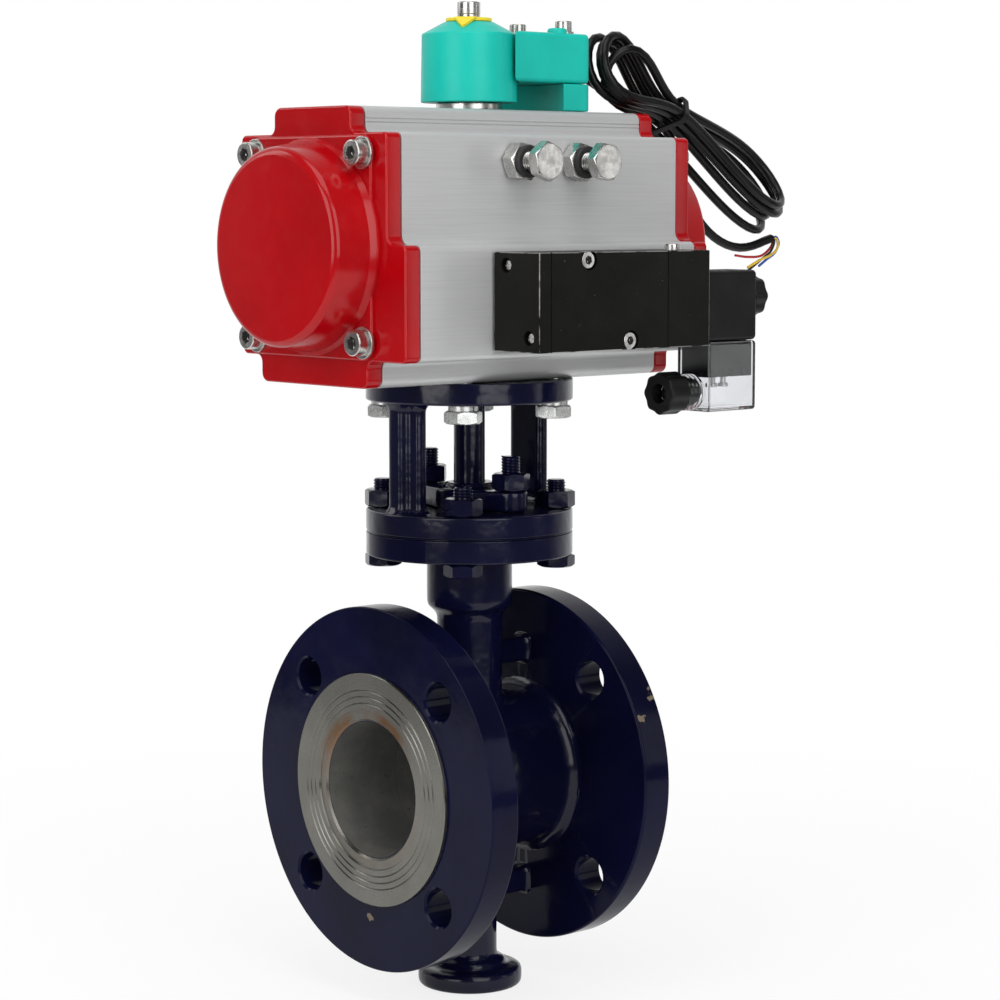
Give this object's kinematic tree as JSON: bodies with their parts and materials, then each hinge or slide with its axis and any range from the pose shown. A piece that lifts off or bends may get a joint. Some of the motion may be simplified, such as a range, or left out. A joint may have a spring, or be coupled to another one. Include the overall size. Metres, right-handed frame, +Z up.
{
  "type": "pneumatic actuated valve",
  "caption": "Flanged quarter-turn valve with a yoke, a spring-return rack-and-pinion air actuator, a solenoid pilot valve and a position sensor with a tied cable.",
  "frame": {"origin": "where the stem's axis crosses the pipe's axis", "axes": "+Z up the stem; +X along the pipe and the actuator, out of the outlet; -Y towards the solenoid valve"},
  "size_m": [0.336, 0.1972, 0.5054],
  "materials": {
    "navy_enamel": "gloss",
    "crimson_enamel": "gloss",
    "anodised_aluminium": "satin",
    "zinc_steel": "satin",
    "stainless_steel": "satin",
    "bearing_bronze": "satin",
    "graphite": "matte",
    "black_rubber": "matte",
    "black_polymer": "satin",
    "black_aluminium": "satin",
    "teal_polymer": "satin",
    "yellow_polymer": "satin",
    "clear_polymer": "gloss",
    "spring_steel": "satin",
    "cable_sheath": "satin",
    "bare_cores": "satin"
  },
  "bodies": {
    "valve": {"valve_body": "navy_enamel", "yoke": "navy_enamel", "gland_follower": "navy_enamel", "bonnet_bolt_1": "navy_enamel", "bonnet_bolt_2": "navy_enamel", "bonnet_bolt_3": "navy_enamel", "bonnet_bolt_4": "navy_enamel", "end_cap_inlet": "crimson_enamel", "end_cap_outlet": "crimson_enamel", "actuator_body": "anodised_aluminium", "bottom_plug": "zinc_steel", "gland_stud_near": "zinc_steel", "gland_stud_far": "zinc_steel", "yoke_bolt_1": "zinc_steel", "yoke_bolt_2": "zinc_steel", "yoke_bolt_3": "zinc_steel", "yoke_bolt_4": "zinc_steel", "stop_nut_open": "zinc_steel", "stop_nut_closed": "zinc_steel", "seat_liner": "stainless_steel", "thrust_ring": "stainless_steel", "upper_bush": "bearing_bronze", "lower_bush": "bearing_bronze", "packing_rings": "graphite", "bonnet_gasket": "graphite", "valve_gasket": "black_rubber", "pinion_bush_lower": "black_polymer", "pinion_bush_upper": "black_polymer", "coil": "black_polymer", "coil_nut": "black_polymer", "terminal_block": "black_polymer", "plug_gland_nut": "black_polymer", "cable_tie": "black_polymer", "solenoid_body": "black_aluminium", "solenoid_end_cover": "black_aluminium", "pilot_block": "black_aluminium", "sensor_base": "teal_polymer", "sensor_head": "teal_polymer", "plug_shell": "clear_polymer", "spring_inlet": "spring_steel", "spring_outlet": "spring_steel", "sensor_cable": "cable_sheath", "cable_cores": "bare_cores"},
    "rotor": {"stem": "stainless_steel", "disc": "stainless_steel", "disc_pin_upper": "zinc_steel", "disc_pin_lower": "zinc_steel", "pinion": "zinc_steel", "indicator_puck": "teal_polymer", "indicator_pointer": "yellow_polymer", "puck_screw": "stainless_steel"},
    "piston_inlet": {"piston_inlet": "anodised_aluminium", "piston_seal_inlet": "black_rubber"},
    "piston_outlet": {"piston_outlet": "anodised_aluminium", "piston_seal_outlet": "black_rubber"},
    "stop_bolt_open": {"stop_bolt_open": "zinc_steel"},
    "stop_bolt_closed": {"stop_bolt_closed": "zinc_steel"},
    "override_button": {"override_button": "stainless_steel"},
    "spool": {"spool": "anodised_aluminium"},
    "plunger": {"plunger": "stainless_steel"}
  },
  "joints": [
    {"name": "stem_turn", "type": "hinge", "parent": "valve", "child": "rotor", "pos_m": [0, 0, 0], "axis": [0, 0, 1], "range_deg": [0, 90], "stiffness_Nm_per_rad": 6, "springref_deg": -11.46},
    {"name": "piston_inlet_slide", "type": "slide", "parent": "valve", "child": "piston_inlet", "axis": [-1, 0, 0], "range_m": [0, 0.0256], "deforming": ["spring_inlet"]},
    {"name": "piston_outlet_slide", "type": "slide", "parent": "valve", "child": "piston_outlet", "axis": [1, 0, 0], "range_m": [0, 0.0256], "deforming": ["spring_outlet"]},
    {"name": "stop_bolt_open_slide", "type": "slide", "parent": "valve", "child": "stop_bolt_open", "axis": [0, -1, 0], "range_m": [0, 0.006]},
    {"name": "stop_bolt_closed_slide", "type": "slide", "parent": "valve", "child": "stop_bolt_closed", "axis": [0, -1, 0], "range_m": [0, 0.006]},
    {"name": "override_press", "type": "slide", "parent": "valve", "child": "override_button", "axis": [0, 0, -1], "range_m": [0, 0.0015], "stiffness_N_per_m": 600, "springref_m": -0.0005},
    {"name": "spool_shift", "type": "slide", "parent": "valve", "child": "spool", "axis": [1, 0, 0], "range_m": [0, 0.005], "stiffness_N_per_m": 300, "springref_m": -0.001},
    {"name": "plunger_pull", "type": "slide", "parent": "valve", "child": "plunger", "axis": [1, 0, 0], "range_m": [0, 0.0015], "stiffness_N_per_m": 800, "springref_m": -0.0005}
  ],
  "couplings": [
    {"joint": "piston_inlet_slide", "follows": "stem_turn", "m_per_rad": 0.016},
    {"joint": "piston_outlet_slide", "follows": "stem_turn", "m_per_rad": 0.016}
  ]
}
